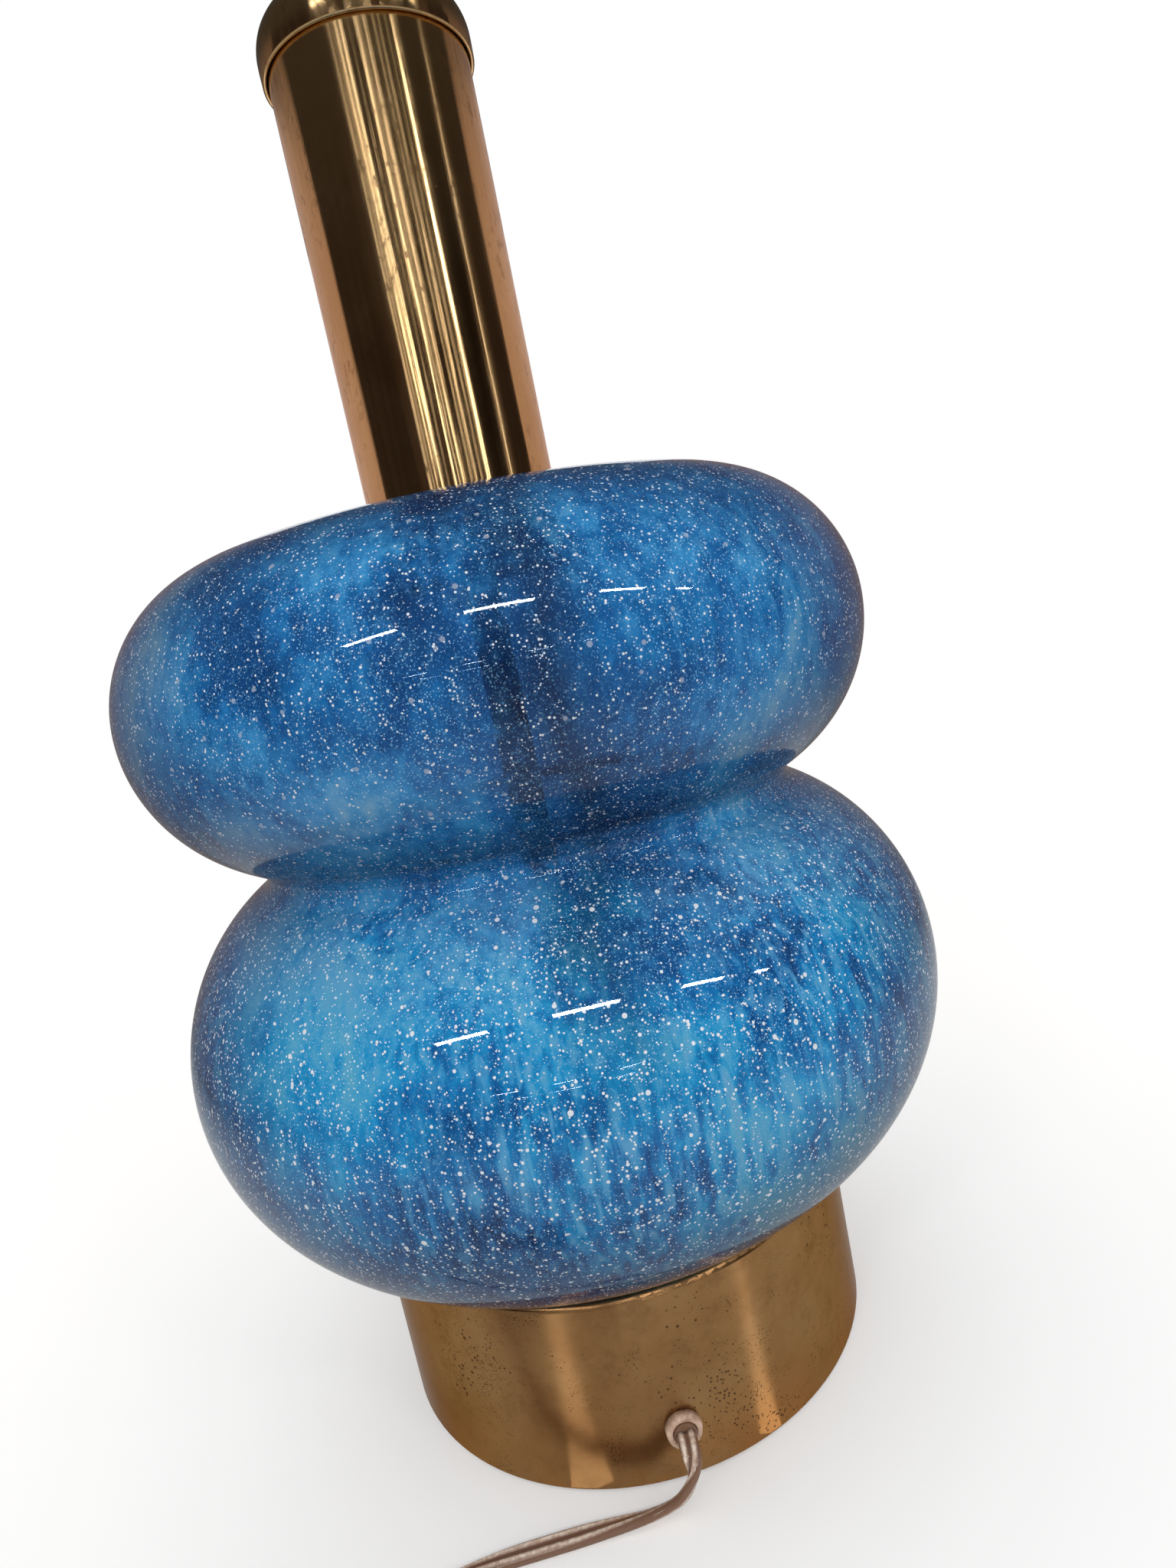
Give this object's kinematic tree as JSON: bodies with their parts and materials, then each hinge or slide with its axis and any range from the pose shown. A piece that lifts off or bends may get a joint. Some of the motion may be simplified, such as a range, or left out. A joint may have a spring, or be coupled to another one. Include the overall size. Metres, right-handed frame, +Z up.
{
  "type": "glass table lamp",
  "caption": "Table lamp with a round brass base can, a blown two-lobed glass body, a brass neck tube, and a switched screw socket inside a removable shade harp.",
  "frame": {"origin": "centre of the felt's underside on the lamp's axis, at table height", "axes": "+Z up the lamp's axis; -Y towards the side that the cord leaves; the harp stands in the YZ plane and the switch points along +X; left and right on the harp are as seen from the side away from the switch"},
  "size_m": [0.251, 0.2694, 0.613],
  "materials": {
    "felt": "matt",
    "fibreboard": "matt",
    "brass_base": "aged satin",
    "brass_neck": "polished",
    "brass_plated": "polished",
    "iron": "rough",
    "steel": "zinc plated",
    "blade_metal": "polished",
    "glass": "polished",
    "rubber": "matt",
    "cream_plastic": "satin",
    "cord": "clear",
    "plug_plastic": "satin",
    "dark_plastic": "satin"
  },
  "bodies": {
    "lamp": {"base_felt": "felt", "bottom_disc": "fibreboard", "base_shell": "brass_base", "base_weight": "iron", "weight_washer": "steel", "base_nut": "steel", "lamp_pipe": "steel", "glass_seat_washer": "felt", "glass_body": "glass", "neck_gasket": "rubber", "neck_centring_washer": "steel", "neck_tube": "brass_neck", "neck_cap": "brass_neck", "cap_washer": "brass_neck", "cap_nut": "brass_neck", "cord_bushing": "cream_plastic", "cord_inner": "cord", "cord_run": "cord", "cord_coil": "cord", "cord_tail": "cord", "coil_tie": "cream_plastic", "plug_body": "plug_plastic", "plug_blades": "blade_metal", "harp_saddle": "brass_plated", "socket_cap": "brass_plated", "socket_set_screw": "steel", "socket_shell": "brass_plated", "shell_liner": "fibreboard", "socket_insulator": "dark_plastic", "screw_shell": "blade_metal", "centre_contact": "blade_metal", "terminal_screw_live": "brass_plated", "terminal_screw_neutral": "steel", "lead_live": "cord", "lead_neutral": "cord"},
    "switch": {"switch_stem": "steel", "switch_knob": "dark_plastic"},
    "harp": {"harp": "brass_plated", "harp_stud": "brass_plated"},
    "ferrule_left": {"ferrule_left": "brass_plated"},
    "ferrule_right": {"ferrule_right": "brass_plated"},
    "finial": {"finial": "brass_neck"}
  },
  "joints": [
    {"name": "switch_turn", "type": "hinge", "parent": "lamp", "child": "switch", "pos_m": [0, 0, 0.4048], "axis": [1, 0, 0], "continuous": true},
    {"name": "harp_lift", "type": "slide", "parent": "lamp", "child": "harp", "axis": [0, 0, 1], "range_m": [0, 0.013]},
    {"name": "ferrule_left_slide", "type": "slide", "parent": "harp", "child": "ferrule_left", "axis": [0, 0, 1], "range_m": [0, 0.015]},
    {"name": "ferrule_right_slide", "type": "slide", "parent": "harp", "child": "ferrule_right", "axis": [0, 0, 1], "range_m": [0, 0.015]},
    {"name": "finial_turn", "type": "hinge", "parent": "harp", "child": "finial", "pos_m": [0, 0, 0.59272], "axis": [0, 0, 1], "continuous": true}
  ]
}
